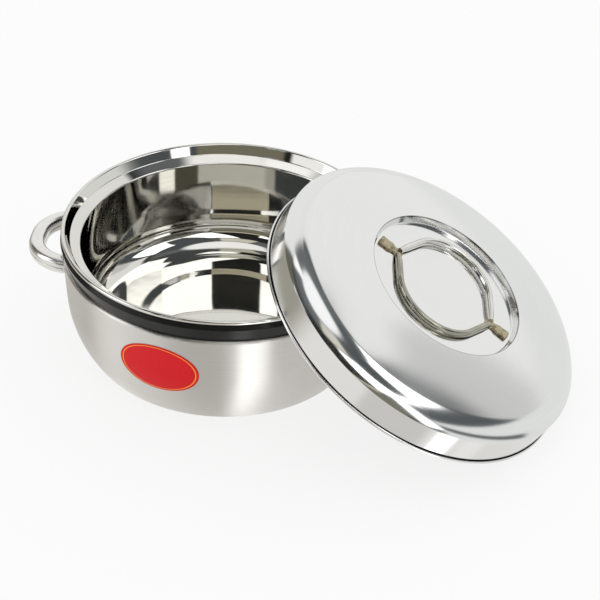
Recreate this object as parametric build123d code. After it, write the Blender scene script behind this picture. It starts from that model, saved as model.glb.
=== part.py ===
"""Insulated chapati casserole: a double-walled steel pot, and its loose lid leaning on the pot's rim.

Millimetres, +Z up. The origin is on the pot's axis, in the plane of its base. The pot's handles lie
along X, and its front is at -Y. Round pieces are outlines of (radius, height) spun about an axis.
"""
import os
from math import cos, hypot, radians, sin, sqrt, tan

from build123d import *

# Clearances
fit_gap = 0.3        # between curved pieces
contact_gap = 0.1    # between curved faces that are welded, pressed or stuck together

# Pot as a whole
pot_height = 100.0   # top of the pan's rim bead
rim_radius = 120.0   # outside of the rim bead
sheet = 0.6          # steel of the pan and of the outer shell

# Pan
rim_bead = 4.2           # diameter of the rolled rim bead
ledge_inset = 6.6        # outside of the stepped mouth's ledge, inside the rim's outside
ledge_depth = 7.2        # ledge's outside below the rim's top
ledge_width = 7.7        # from the ledge's outside to the deep well's mouth
well_mouth_depth = 10.6  # the well's mouth below the rim's top
well_taper = 1.2         # degrees off the vertical
pan_floor_level = 20.0   # pan's floor above the ground
well_bottom_round = 21.0
mouth_round = 2.4
ledge_round = 1.6

# Outer shell
shoulder_drop = 18.3     # shoulder below the rim's top
shoulder_inset = 1.0     # shoulder inside the rim's outside
shoulder_round = 2.0
shoulder_lip = 6.2       # width of the flat lip that the collar ring stands on
shell_taper = 4.3        # degrees off the vertical, upper wall
belly_round = 84.0
belly_end_slope = 52.4   # degrees to the floor where the belly meets the base corner
base_inset = 22.7        # from the rim's outside to where the belly's last tangent meets the floor
base_round = 5.0

# Collar ring
collar_overhang = 0.5    # ring's widest part beyond the rim bead
collar_edge_drop = 7.0   # ring's widest part below the rim's top
collar_land_inset = 1.7  # ring's top land inside the rim bead's outside
collar_spigot = 3.0      # depth of the spigot inside the shell's lip
collar_wall = 2.6        # thickness of the spigot
collar_round = 0.8
foam_head_gap = 0.4      # between the foam and the spigot

# Foam filling hole of the base
plug_radius = 9.0
plug_flange = 2.2        # flange's width beyond the hole
plug_flange_thickness = 1.6

# Pot handles
handle_width = 12.0      # in plan
handle_thickness = 12.2  # along Z
handle_round = 4.6
handle_wall = 0.9
finger_gap = 13.5        # from the rim's outside to the inside of the loop
handle_span = 74.8       # over the legs inside the shell
handle_front_span = 73.6     # over the legs at the outer bar
handle_flat = 5.6        # straight part of the outer bar between its two bends
handle_drop = 0.9        # top face below the shell's shoulder
foot_thickness = 1.2

# Label
label_width = 61.0
label_height = 40.0
label_level = 50.4
label_azimuth = 255.1    # degrees from +X, anticlockwise seen from above
label_thickness = 0.25

# Lid, in its own frame: its lower edge is at height 0
lid_sheet = 0.5
skirt_clearance = 0.4    # between the liner's skirt and the collar ring
skirt_joint = 0.2        # between the liner's skirt and the cover's skirt
lid_bead = 2.2           # diameter of the cover's rolled bead
hem_width = 1.5          # flange at the liner's lower edge
hem_thickness = 0.7
liner_level = 14.7       # liner's underside above the lid's lower edge
liner_round = 2.0
skirt_top = 23.4         # crease between the cover's skirt and its shoulder
dome_radius = 400.0
shoulder_width = 15.1    # from where the dome ends to the skirt's outside
recess_radius = 61.4     # edge of the recess
recess_edge_level = 43.9
recess_depth = 5.4
recess_wall_run = 1.9    # how far the recess wall slopes inwards
recess_round = 1.0
lid_plug_radius = 7.0
lid_plug_flange = 2.0
lid_plug_thickness = 1.4

# Lid handle, in the recess
eye_half_length = 42.0   # on the bows' centre line
eye_half_width = 43.8
bow_end_slope = 66.0     # degrees between a bow's straight end and the handle's axis
bow_width = 5.0
bow_height = 3.6
bow_round = 1.6
bow_split = 0.3          # between the two bows' ends
tongue_thickness = 1.4   # part of a tab that carries the bows
tongue_length = 4.5      # from the tab's inner end to where the bows meet
tab_clearance = 2.1      # between the tab's outer end and the recess wall
tab_width = 8.6
tab_thickness = 2.4
tab_round = 0.9

# How the lid leans: its lower edge on the floor, its liner on the pot's rim
lean_tilt = 31.5         # degrees
lean_azimuth = -11.5     # degrees from +X that the lid's top faces
lean_shift = -12.9       # sideways from the pot's axis

# Sizes that follow
bead_radius = rim_bead / 2
rim_level = pot_height - bead_radius
ledge_radius = rim_radius - ledge_inset
well_radius = ledge_radius - ledge_width
well_depth = pot_height - pan_floor_level
shoulder_level = pot_height - shoulder_drop
shell_top_radius = rim_radius - shoulder_inset
shoulder_hole = shell_top_radius - shoulder_lip
base_corner_radius = rim_radius - base_inset
collar_radius = rim_radius + collar_overhang
spigot_bottom = shoulder_level - collar_spigot
handle_level = shoulder_level - handle_drop - handle_thickness / 2
handle_reach = rim_radius + finger_gap + handle_width
handle_corner = (handle_front_span - handle_flat) / 2 - handle_width / 2     # of the centre line
skirt_inner = collar_radius + skirt_clearance
cover_inner = skirt_inner + lid_sheet + skirt_joint
cover_outer = cover_inner + lid_sheet
shoulder_start = cover_outer - shoulder_width
lid_bead_radius = lid_bead / 2
lid_bead_level = hem_thickness + contact_gap + lid_bead_radius
hem_radius = skirt_inner + hem_width
liner_top = liner_level + lid_sheet
recess_level = recess_edge_level - recess_depth
bow_level = recess_level + tongue_thickness
tongue_start = eye_half_length - tongue_length
tab_end = recess_radius - recess_wall_run - tab_clearance


def spun(edges):
    """The solid of revolution of a closed outline of (radius, height)."""
    return revolve(Plane.XZ * make_face(edges), Axis.Z)


def disc(radius, bottom, top):
    return Pos(0, 0, (bottom + top) / 2) * Cylinder(radius, top - bottom)


def moved_sideways(points, rounds, gap):
    """An outline moved to its right by gap, with its corner radii changed to stay concentric."""
    steps = [(b[0] - a[0], b[1] - a[1]) for a, b in zip(points, points[1:])]
    rights = [(y / hypot(x, y), -x / hypot(x, y)) for x, y in steps]
    moved = [(points[0][0] + gap * rights[0][0], points[0][1] + gap * rights[0][1])]
    radii = []
    for at, before, after, radius in zip(points[1:-1], rights, rights[1:], rounds):
        share = gap / (1 + before[0] * after[0] + before[1] * after[1])
        moved.append((at[0] + share * (before[0] + after[0]), at[1] + share * (before[1] + after[1])))
        turn = before[0] * after[1] - before[1] * after[0]
        radii.append(max(radius + (gap if turn > 0 else -gap), 0))
    moved.append((points[-1][0] + gap * rights[-1][0], points[-1][1] + gap * rights[-1][1]))
    return moved, radii


def vessel(points, rounds, gap, level, top_round=0):
    """What a vessel holds up to a level, grown by gap. Its outline runs from its floor's centre."""
    moved, radii = moved_sideways(points, rounds, gap)
    (x1, y1), (x2, y2) = moved[-2:]
    moved[-1] = (x1 + (x2 - x1) * (level - y1) / (y2 - y1), level)
    side = FilletPolyline(*moved, (0, level), radius=radii + [top_round])
    return spun(side.edges() + [Edge.make_line((0, level), moved[0])])


def shell_space(gap, level, top_round=0):
    """The outer shell's outside, grown by gap, up to a level."""
    slope = radians(belly_end_slope)
    lean = radians(90 - shell_taper)
    run = shell_top_radius - base_corner_radius
    length = (run * sin(lean) - shoulder_level * cos(lean)) / sin(lean - slope)
    corner = (base_corner_radius + length * cos(slope), length * sin(slope))
    base_tangent = base_round * tan(slope / 2)
    belly = min(belly_round, 0.98 * (length - base_tangent) / tan((lean - slope) / 2))
    points = [(0, 0), (base_corner_radius, 0), corner, (shell_top_radius, shoulder_level)]
    return vessel(points, [base_round, belly], gap, level, top_round)


def pan_space(gap):
    """The pan's inside, grown by gap, up to the middle of its rim bead."""
    floor = pot_height - well_depth
    mouth = pot_height - well_mouth_depth
    floor_radius = well_radius - (mouth - floor) * tan(radians(well_taper))
    points = [(0, floor), (floor_radius, floor), (well_radius, mouth)]
    points += [(ledge_radius, pot_height - ledge_depth), (rim_radius - rim_bead, rim_level)]
    return vessel(points, [well_bottom_round, mouth_round, ledge_round], gap, rim_level)


def outer_shell():
    """Satin steel bowl with a flat lip at its shoulder and the filling hole in its base."""
    bowl = shell_space(0, shoulder_level, shoulder_round)
    bowl -= shell_space(-sheet, shoulder_level - sheet, shoulder_round - sheet)
    bowl -= disc(shoulder_hole, shoulder_level - 2 * sheet, shoulder_level + sheet)
    return bowl - disc(plug_radius, -sheet, 2 * sheet)


def inner_pan():
    """Mirror-polished pan with a stepped mouth and a rolled rim bead."""
    pan = pan_space(sheet) - pan_space(0)
    return pan + Pos(0, 0, rim_level) * Torus(rim_radius - bead_radius, bead_radius)


def collar_ring():
    """Black plastic ring that carries the pan's ledge on the shell's shoulder."""
    land = rim_level - bead_radius - fit_gap
    spigot = shoulder_hole - fit_gap
    inner = spigot - collar_wall
    points = [
        (inner, spigot_bottom),
        (spigot, spigot_bottom),
        (spigot, shoulder_level),
        (shell_top_radius - shoulder_round, shoulder_level),
        (collar_radius, pot_height - collar_edge_drop),
        (rim_radius - collar_land_inset, land),
        (inner, land),
    ]
    rounds = [0, 0, 0, 0, collar_round, collar_round, 0]
    ring = spun(FilletPolyline(*points, radius=rounds, close=True).edges())
    return ring - pan_space(sheet + fit_gap)


def base_plug():
    """Plug that snaps into the filling hole, flush with the base."""
    stem = disc(plug_radius - contact_gap, 0, sheet)
    return stem + disc(plug_radius + plug_flange, sheet, sheet + plug_flange_thickness)


def pot_insulation():
    """Foam between the pan and the shell, below the collar ring."""
    gap = sheet + fit_gap
    foam = shell_space(-gap, spigot_bottom - foam_head_gap) - pan_space(gap)
    pocket = plug_radius + plug_flange + fit_gap
    return foam - disc(pocket, 0, sheet + plug_flange_thickness + fit_gap)


def front_label():
    """Thin oval label that follows the shell."""
    skin = shell_space(contact_gap + label_thickness, shoulder_level)
    skin -= shell_space(contact_gap, shoulder_level)
    turn = radians(label_azimuth)
    face = Plane((0, 0, label_level), x_dir=(-sin(turn), cos(turn), 0), z_dir=(cos(turn), sin(turn), 0))
    return skin & extrude(face * Ellipse(label_width / 2, label_height / 2), 2 * rim_radius)


def upright_section(path, points, rounds):
    """A closed outline of (sideways, up) set square on a level path's start."""
    along = path % 0
    start = Plane(path @ 0, x_dir=(-along.Y, along.X, 0), z_dir=along)
    return start * make_face(FilletPolyline(*points, radius=rounds, close=True).edges())


def handle_bar(inset):
    """The right handle's whole loop, its surface moved inwards by inset, with legs into the shell."""
    half_width = handle_width / 2
    half_height = handle_thickness / 2 - inset
    bar = handle_reach - half_width
    front = handle_front_span / 2 - half_width
    leg = handle_span / 2 - half_width
    inside = rim_radius - 2 * handle_width
    points = [(inside, -leg), (bar, -front), (bar, front), (inside, leg)]
    path = Pos(0, 0, handle_level) * FilletPolyline(*points, radius=handle_corner)
    across = half_width - inset
    corners = [(-across, -half_height), (across, -half_height), (across, half_height)]
    corners += [(-across, half_height)]
    return sweep(upright_section(path, corners, handle_round - inset), path)


def handle_pieces():
    """The two pressed halves and the two weld feet of the right handle."""
    loop = handle_bar(0)
    foot_gap = contact_gap + foot_thickness
    feet = shell_space(foot_gap, shoulder_level) - shell_space(contact_gap, shoulder_level)
    wall = loop - handle_bar(handle_wall) - shell_space(foot_gap + contact_gap, shoulder_level)
    size = 4 * rim_radius
    above = Pos(0, 0, handle_level + size / 2) * Box(size, size, size)
    below = Pos(0, 0, handle_level - size / 2) * Box(size, size, size)
    return {"handle_upper_half": wall & above, "handle_lower_half": wall & below,
            "handle_weld_feet": feet & loop}


def cover_space(gap, bottom):
    """Under the cover's outside, moved inwards by gap, down to a level."""
    reach = dome_radius - gap
    low = recess_edge_level - sqrt(dome_radius**2 - recess_radius**2)
    start = (shoulder_start, low + sqrt(dome_radius**2 - shoulder_start**2))
    normal = (start[0] / dome_radius, (start[1] - low) / dome_radius)
    # The shoulder's circle touches the dome at its start and passes through the crease.
    run = (start[0] - cover_outer, start[1] - skirt_top)
    radius = (run[0]**2 + run[1]**2) / (2 * (run[0] * normal[0] + run[1] * normal[1]))
    centre = (start[0] - radius * normal[0], start[1] - radius * normal[1])
    wall = cover_outer - gap
    crease = (wall, centre[1] + sqrt((radius - gap)**2 - (wall - centre[0])**2))
    start = (start[0] - gap * normal[0], start[1] - gap * normal[1])
    # The recess wall runs up to where it meets the dome.
    floor = recess_radius - recess_wall_run
    points = [(0, recess_level), (floor, recess_level), (recess_radius, recess_edge_level)]
    points, rounds = moved_sideways(points, [recess_round], gap)
    foot = (points[1][0], points[1][1] - low)
    slope = (recess_wall_run / hypot(recess_wall_run, recess_depth),
             recess_depth / hypot(recess_wall_run, recess_depth))
    along = foot[0] * slope[0] + foot[1] * slope[1]
    length = sqrt(along**2 + reach**2 - foot[0]**2 - foot[1]**2) - along
    edge = (foot[0] + length * slope[0], low + foot[1] + length * slope[1])
    middle = (edge[0] + start[0]) / 2
    recess = FilletPolyline(*points[:2], edge, radius=rounds)
    dome = ThreePointArc(edge, (middle, low + sqrt(reach**2 - middle**2)), start)
    shoulder = TangentArc(start, crease, tangent=(normal[1], -normal[0]))
    skirt = Polyline(crease, (wall, bottom), (0, bottom), points[0])
    return spun(recess.edges() + dome.edges() + shoulder.edges() + skirt.edges())


def lid_cover():
    """Domed cover with a round recess and a skirt that ends in a rolled bead."""
    cover = cover_space(0, lid_bead_level) - cover_space(lid_sheet, lid_bead_level - lid_bead)
    return cover + Pos(0, 0, lid_bead_level) * Torus(cover_inner + lid_bead_radius, lid_bead_radius)


def lid_liner():
    """Flat liner with its own skirt inside the cover's, and a hem under the bead."""
    outside = disc(skirt_inner + lid_sheet, 0, liner_top)
    outside = fillet(outside.edges().sort_by(Axis.Z)[-1], liner_round)
    inside = disc(skirt_inner, -liner_level, liner_level)
    inside = fillet(inside.edges().sort_by(Axis.Z)[-1], liner_round - lid_sheet)
    hem = disc(hem_radius, 0, hem_thickness)
    return outside + hem - inside - disc(lid_plug_radius, 0, liner_top + lid_sheet)


def lid_plug():
    """Plug that snaps into the liner's filling hole, flush with its underside."""
    stem = disc(lid_plug_radius - contact_gap, liner_level, liner_top)
    return stem + disc(lid_plug_radius + lid_plug_flange, liner_top, liner_top + lid_plug_thickness)


def lid_insulation():
    """Foam between the liner and the cover."""
    foam = cover_space(lid_sheet + fit_gap, liner_top + fit_gap)
    pocket = lid_plug_radius + lid_plug_flange + fit_gap
    return foam - disc(pocket, liner_top, liner_top + lid_plug_thickness + fit_gap)


def lid_handle_bow():
    """The rear bow: two straight ends that run into one arc."""
    slope = radians(bow_end_slope)
    peak = eye_half_length * tan(slope)
    radius = (peak - eye_half_width) * cos(slope) / (1 - cos(slope))
    points = [(-eye_half_length, 0), (0, peak), (eye_half_length, 0)]
    path = Pos(0, 0, bow_level) * FilletPolyline(*points, radius=radius)
    half = bow_width / 2
    corners = [(-half, 0), (half, 0), (half, bow_height), (-half, bow_height)]
    bow = sweep(upright_section(path, corners, [0, 0, bow_round, bow_round]), path)
    size = 4 * peak
    return bow & Pos(0, (size + bow_split) / 2, 0) * Box(size, size, size)


def lid_handle_tab():
    """The right tab: a flat bar on the recess floor whose tongue carries the bows."""
    step = eye_half_length + bow_width / 2 / sin(radians(bow_end_slope)) + fit_gap
    tab = Pos((step + tab_end) / 2, 0, recess_level + tab_thickness / 2)
    tab *= Box(tab_end - step, tab_width, tab_thickness)
    ends = tab.edges().filter_by(Axis.Z).sort_by(Axis.X)[-2:]
    tab = fillet(ends, 2 * tab_round)
    tab = fillet(tab.faces().sort_by(Axis.Z)[-1].edges(), tab_round)
    tongue = Pos((tongue_start + step) / 2, 0, recess_level + tongue_thickness / 2)
    return tab + tongue * Box(step - tongue_start, tab_width, tongue_thickness)


def lid_place():
    """Where the lid leans: it touches the floor, and its liner clears the rim bead by a fit gap."""
    tilt = radians(lean_tilt)
    turn = radians(lean_azimuth)
    bead_reach = (cover_inner + lid_bead_radius) * sin(tilt)
    bead_low = bead_reach - lid_bead_level * cos(tilt) + lid_bead_radius
    rise = max(hem_radius * sin(tilt), bead_low)
    rim_top = rim_level * cos(tilt) + (rim_radius - bead_radius) * sin(tilt) + bead_radius
    reach = (rim_top + fit_gap - liner_level - rise * cos(tilt)) / sin(tilt)
    x = reach * cos(turn) - lean_shift * sin(turn)
    y = reach * sin(turn) + lean_shift * cos(turn)
    return Pos(x, y, rise) * Rot(Z=lean_azimuth) * Rot(Y=lean_tilt)


def pot():
    nodes = {"outer_shell": outer_shell(), "inner_pan": inner_pan(), "collar_ring": collar_ring(),
             "base_plug": base_plug(), "pot_insulation": pot_insulation(),
             "front_label": front_label()}
    for name, piece in handle_pieces().items():
        nodes["right_" + name] = piece
        nodes["left_" + name] = Rot(Z=180) * piece
    return nodes


def lid():
    bow = lid_handle_bow()
    tab = lid_handle_tab()
    nodes = {"lid_cover": lid_cover(), "lid_liner": lid_liner(), "lid_plug": lid_plug(),
             "lid_insulation": lid_insulation(), "lid_handle_rear_bow": bow,
             "lid_handle_front_bow": Rot(Z=180) * bow, "lid_handle_right_tab": tab,
             "lid_handle_left_tab": Rot(Z=180) * tab}
    place = lid_place()
    return {name: place * piece for name, piece in nodes.items()}


os.makedirs("parts", exist_ok=True)
for name, piece in {**pot(), **lid()}.items():
    export_step(piece, f"parts/{name}.step")
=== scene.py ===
from math import acos, atan2, ceil, cos, degrees, pi, radians, sin, sqrt, tan

import bpy
import numpy as np
from mathutils import Matrix, Vector


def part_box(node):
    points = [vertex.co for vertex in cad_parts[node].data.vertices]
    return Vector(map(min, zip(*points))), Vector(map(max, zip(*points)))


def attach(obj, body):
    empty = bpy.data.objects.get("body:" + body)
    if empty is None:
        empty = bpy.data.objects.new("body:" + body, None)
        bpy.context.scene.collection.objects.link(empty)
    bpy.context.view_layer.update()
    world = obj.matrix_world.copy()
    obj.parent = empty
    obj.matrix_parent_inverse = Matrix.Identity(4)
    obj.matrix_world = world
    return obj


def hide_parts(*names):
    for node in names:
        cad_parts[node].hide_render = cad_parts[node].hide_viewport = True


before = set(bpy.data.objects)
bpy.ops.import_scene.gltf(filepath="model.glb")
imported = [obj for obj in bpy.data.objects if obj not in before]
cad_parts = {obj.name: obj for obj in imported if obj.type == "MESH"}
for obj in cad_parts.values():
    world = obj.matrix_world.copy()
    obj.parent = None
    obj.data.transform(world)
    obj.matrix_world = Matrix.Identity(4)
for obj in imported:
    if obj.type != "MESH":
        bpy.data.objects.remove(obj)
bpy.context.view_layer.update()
mm = 0.001       # sizes are in millimetres and angles in degrees until a mesh or a material is made
tiny = 1e-6      # lengths and bends below this count as none
weld = 1e-4      # a wider gap between two strips is closed by a straight one
pathStep = 1.5   # between the sections of a swept bar
print("frame loaded")


# ---- the frame's own sizes, in millimetres

def nodePoints(name):
    # every corner of one solid
    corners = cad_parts[name].data.vertices
    points = np.zeros(len(corners) * 3)
    corners.foreach_get("co", points)
    return points.reshape(-1, 3) / mm


def nodeBox(name):
    # the lowest and the highest x, y and z of one solid
    low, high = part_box(name)
    return np.array(low) / mm, np.array(high) / mm


lean = {"tilt": 31.5, "azimuth": -11.5}   # how the lid leans

turn = Matrix.Rotation(radians(lean["azimuth"]), 3, "Z") @ Matrix.Rotation(radians(lean["tilt"]), 3, "Y")
lidAxes = np.array(turn)                  # columns: down the slope, sideways, out of the lid's top
linerPoints = nodePoints("lid_liner") @ lidAxes
middle = (linerPoints.min(0) + linerPoints.max(0)) / 2
lidCentre = lidAxes @ np.array([middle[0], middle[1], linerPoints[:, 2].min()])
potTop = nodeBox("inner_pan")[1]
rimRadius, rimTop = potTop[0], potTop[2]
shoulderLevel = nodeBox("outer_shell")[1][2]


def onLid(points):
    # from the lid's own frame to the object's
    return points @ lidAxes.T + lidCentre


# ---- outlines: rows of places and of the normals that the strips between them start and end with

def arcRows(centre, radius, start, end, coarse=4.0, sag=0.008):
    # points on a circle from one angle to another, in degrees; anticlockwise faces outwards
    # a step is 2 acos(1 - sag / radius), so that its chord leaves the circle by the sag at most
    step = min(coarse, 2 * degrees(acos(1 - min(sag / radius, 1))))
    count = max(2, ceil(abs(end - start) / step))
    angle = np.radians(np.linspace(start, end, count + 1))
    ray = np.stack([np.cos(angle), np.sin(angle)], 1)
    facing = ray if end > start else -ray
    return np.array(centre) + radius * ray, facing


def rightOf(start, end):
    # the unit normal on the right of a line from start to end
    along = (end - start) / np.linalg.norm(end - start)
    return np.array([along[1], -along[0]])


def roundedRows(points, radii, closed=False):
    # a polyline with its corners rounded: an arc of radius r starts r tan(bend / 2) before its corner
    # the material lies on its left, and normals point right
    points = [np.array(p, float) for p in points]
    count = len(points)
    pieces = []
    corners = range(count) if closed else range(1, count - 1)
    cut = {}
    for i in corners:
        here, back, ahead = points[i], points[i - 1], points[(i + 1) % count]
        before = (here - back) / np.linalg.norm(here - back)
        after = (ahead - here) / np.linalg.norm(ahead - here)
        cross = before[0] * after[1] - before[1] * after[0]
        bend = atan2(cross, float(before @ after))
        radius = radii[i] if closed else radii[i - 1]
        if radius == 0 or abs(bend) < tiny:
            cut[i] = (here, here, None)
            continue
        reach = radius * tan(abs(bend) / 2)
        side = 1 if bend > 0 else -1
        left = np.array([-before[1], before[0]])
        centre = here - before * reach + side * radius * left
        first = degrees(atan2(*(here - before * reach - centre)[::-1]))
        arc = arcRows(centre, radius, first, first + degrees(bend))
        cut[i] = (here - before * reach, here + after * reach, arc)
    order = list(range(count)) + ([0] if closed else [])
    for i, j in zip(order, order[1:]):
        start = cut[i][1] if i in cut else points[i]
        end = cut[j][0] if j in cut else points[j]
        if np.linalg.norm(end - start) > tiny:
            facing = rightOf(start, end)
            pieces.append((np.array([start, end]), np.array([facing, facing])))
        if j in cut and cut[j][2] is not None:
            pieces.append(cut[j][2])
    return pieces


def joined(pieces, closed=False):
    # pieces end to end: the places once each, and each strip's first and last normal
    places = [pieces[0][0][:1]]
    first, last = [], []
    for place, facing in pieces:
        if np.linalg.norm(place[0] - places[-1][-1]) > weld:
            bridge = rightOf(places[-1][-1], place[0])[None]
            first.append(bridge)
            last.append(bridge)
            places.append(place[:1])
        places.append(place[1:])
        first.append(facing[:-1])
        last.append(facing[1:])
    if closed and np.linalg.norm(places[0][0] - places[-1][-1]) > weld:
        bridge = rightOf(places[-1][-1], places[0][0])[None]
        first.append(bridge)
        last.append(bridge)
        places.append(places[0][:1])
    return np.concatenate(places), np.concatenate(first), np.concatenate(last)


def backOf(pieces, thickness):
    # the other side of a sheet: place - thickness * normal, which runs the other way
    back = []
    for place, facing in reversed(pieces):
        back.append(((place - thickness * facing)[::-1], -facing[::-1]))
    return back


# ---- meshes

def addPiece(name, places, faces, corners, body, replaced=(), slot=None, uv=None):
    # a mesh object from places in mm, faces and one normal for each face's corner
    mesh = bpy.data.meshes.new(name)
    mesh.from_pydata((places * mm).tolist(), [], faces)
    mesh.polygons.foreach_set("use_smooth", [True] * len(mesh.polygons))
    if uv is not None:
        layer = mesh.uv_layers.new(name="flat")
        vertex = np.zeros(len(mesh.loops), np.int32)
        mesh.loops.foreach_get("vertex_index", vertex)
        layer.data.foreach_set("uv", uv[vertex].ravel())
    mesh.normals_split_custom_set(corners.tolist())
    piece = bpy.data.objects.new(name, mesh)
    bpy.context.scene.collection.objects.link(piece)
    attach(piece, body)
    if replaced:
        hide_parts(*replaced)
    return piece


def spinMesh(outline, closed=False, around=288):
    # each outline row turned about the axis: (r cos a, r sin a, height); rows on the axis are one point
    rows, first, last = outline
    if closed:
        rows = rows[:-1]
    angle = np.linspace(0, 2 * pi, around, endpoint=False)
    ray = np.stack([np.cos(angle), np.sin(angle)], 1)
    pole = rows[:, 0] < tiny
    places, start = [], []
    total = 0
    for row, single in zip(rows, pole):
        start.append(total)
        ring = np.column_stack([row[0] * ray, np.full(around, row[1])])
        places.append(ring[:1] if single else ring)
        total += 1 if single else around
    here = np.arange(around)
    ahead = (here + 1) % around
    faces, corners = [], []
    count = len(rows)
    for i in range(len(first)):
        j = (i + 1) % count
        a, b = start[i], start[j]
        facing = []
        for normal, column in ((first[i], here), (first[i], ahead), (last[i], ahead), (last[i], here)):
            facing.append(np.column_stack([normal[0] * ray[column], np.full(around, normal[1])]))
        if pole[i]:
            faces.append(np.column_stack([np.full(around, a), b + ahead, b + here]))
            facing = [facing[0], facing[2], facing[3]]
        elif pole[j]:
            faces.append(np.column_stack([a + here, a + ahead, np.full(around, b)]))
            facing = [facing[0], facing[1], facing[2]]
        else:
            faces.append(np.column_stack([a + here, a + ahead, b + ahead, b + here]))
        corners.append(np.stack(facing, 1).reshape(-1, 3))
    flat = [face for block in faces for face in block.tolist()]
    return np.concatenate(places), flat, np.concatenate(corners)


def tubeFaces(steps, around):
    # quads between rings of points, each ring to the next, and one flat face at each end
    i = np.arange(steps - 1)[:, None]
    j = np.arange(around)[None]
    k = (j + 1) % around
    quads = np.stack([i * around + j, (i + 1) * around + j, (i + 1) * around + k, i * around + k], -1)
    cap = np.arange(around)
    ends = [cap.tolist(), (cap + (steps - 1) * around)[::-1].tolist()]
    return quads.reshape(-1, 4).tolist() + ends


def sweepMesh(path, sideways, section, sectionNormals, scale=None):
    # a closed section carried along a level path: place = path + u * sideways + v * up, ends capped
    up = np.array([0, 0, 1.0])
    steps, around = len(path), len(section)
    scale = np.ones((steps, 2)) if scale is None else scale
    u = section[None, :, 0] * scale[:, :1]
    v = section[None, :, 1] * scale[:, 1:]
    places = path[:, None] + u[..., None] * sideways[:, None] + v[..., None] * up
    normals = sectionNormals[None, :, :1] * sideways[:, None] + sectionNormals[None, :, 1:] * up
    faces = tubeFaces(steps, around)
    corners = normals.reshape(-1, 3)[np.array(faces[:-2]).ravel()]
    ahead = path[-1] - path[-2]
    behind = path[0] - path[1]
    corners = np.concatenate([corners, np.tile(behind / np.linalg.norm(behind), (around, 1)),
                              np.tile(ahead / np.linalg.norm(ahead), (around, 1))])
    return places.reshape(-1, 3), faces, corners


def levelPath(points, radii):
    # a rounded polyline in plan with close points, start + share * (end - start) on each strip, and the
    # sideways direction at each point, mixed in the same way
    rows, first, last = joined(roundedRows(points, radii))
    places, sides = [rows[:1]], [first[:1]]
    for a, b, n, m in zip(rows, rows[1:], first, last):
        count = max(1, ceil(np.linalg.norm(b - a) / pathStep))
        share = np.linspace(0, 1, count + 1)[1:, None]
        places.append(a + (b - a) * share)
        blend = n + (m - n) * share
        sides.append(blend / np.linalg.norm(blend, axis=1)[:, None])
    return np.concatenate(places), np.concatenate(sides)


# ---- pot: the mirror-polished pan

pan = {
    "sheet": 0.6, "bead": 3.4, "rollStart": -130.0, "ledgeInset": 6.6, "ledgeDepth": 7.2,
    "ledgeWidth": 7.7, "ledgeRound": 1.2, "mouthDepth": 10.6, "mouthRound": 1.6, "taper": 1.2,
    "depth": 80.0, "bottomRound": 21.0,
    "discRadius": 57.0, "discHeight": 0.35, "discStep": 7.0, "discRound": 60.0,   # the floor's raised disc
    "crown": 0.35, "crownSag": 0.002,
}


def beadTouch(centre, radius, point):
    # the angle at which a line from the point touches the circle, on the circle's inner side
    away = np.array(point) - np.array(centre)
    distance = np.linalg.norm(away)
    return degrees(atan2(away[1], away[0])) % 360 - degrees(acos(radius / distance))


def panOutline():
    # from the bead over the ledge and down the wall to the floor's middle, in front of the sheet's back
    # the disc's crown is part of a circle of radius (disc^2 + crown^2) / (2 crown)
    bead = pan["bead"] / 2
    beadCentre = (rimRadius - bead, rimTop - bead)
    floor = rimTop - pan["depth"]
    ledge = rimRadius - pan["ledgeInset"]
    well = ledge - pan["ledgeWidth"]
    mouth = rimTop - pan["mouthDepth"]
    corner = (ledge, rimTop - pan["ledgeDepth"])
    touch = beadTouch(beadCentre, bead, corner)
    roll = arcRows(beadCentre, bead, pan["rollStart"], touch)
    floorRadius = well - (mouth - floor) * tan(radians(pan["taper"]))
    disc = pan["discRadius"]
    edge = floor + pan["discHeight"]
    crownRadius = (disc**2 + pan["crown"]**2) / (2 * pan["crown"])
    crown = arcRows((0, edge + pan["crown"] - crownRadius), crownRadius, degrees(acos(disc / crownRadius)),
                    90, sag=pan["crownSag"])
    inside = [roll[0][-1], corner, (well, mouth), (floorRadius, floor),
              (disc + pan["discStep"], floor), (disc, edge), tuple(crown[0][2])]
    rounds = [pan["ledgeRound"], pan["mouthRound"], pan["bottomRound"], pan["discRound"], pan["discRound"]]
    inside = roundedRows(inside, rounds) + [(crown[0][2:], crown[1][2:])]
    return joined(backOf(inside, pan["sheet"]) + [roll] + inside)


# ---- pot: satin shell, black collar, handles, label

shell = {
    "sheet": 0.6, "topInset": 1.0, "topRound": 2.0, "lip": 6.2, "taper": 4.3, "bellyRound": 84.0,
    "bellyEnd": 52.4, "bellyShare": 0.98,   # of the longest arc that has room
    "baseInset": 22.7, "baseRound": 5.0, "hole": 9.0, "wallFrom": 50.0,   # nearer the axis is the base
}


def shellOutside():
    # base, round foot, a straight rise at bellyEnd degrees, round belly, tapered wall and shoulder lip
    # the rise and the wall meet at the knee, which the belly's arc rounds off
    top = rimRadius - shell["topInset"]
    foot = rimRadius - shell["baseInset"]
    slope = radians(shell["bellyEnd"])
    upright = radians(90 - shell["taper"])
    run = top - foot
    length = (run * sin(upright) - shoulderLevel * cos(upright)) / sin(upright - slope)
    knee = (foot + length * cos(slope), length * sin(slope))
    used = shell["baseRound"] * tan(slope / 2)
    room = (length - used) / tan((upright - slope) / 2)
    belly = min(shell["bellyRound"], shell["bellyShare"] * room)
    lipEnd = top - shell["lip"]
    points = [(shell["hole"], 0), (foot, 0), knee, (top, shoulderLevel), (lipEnd, shoulderLevel)]
    return roundedRows(points, [shell["baseRound"], belly, shell["topRound"]])


def shellOutline():
    # the outside and its back, joined at both ends
    outside = shellOutside()
    return joined(outside + backOf(outside, shell["sheet"]), closed=True)


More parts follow.
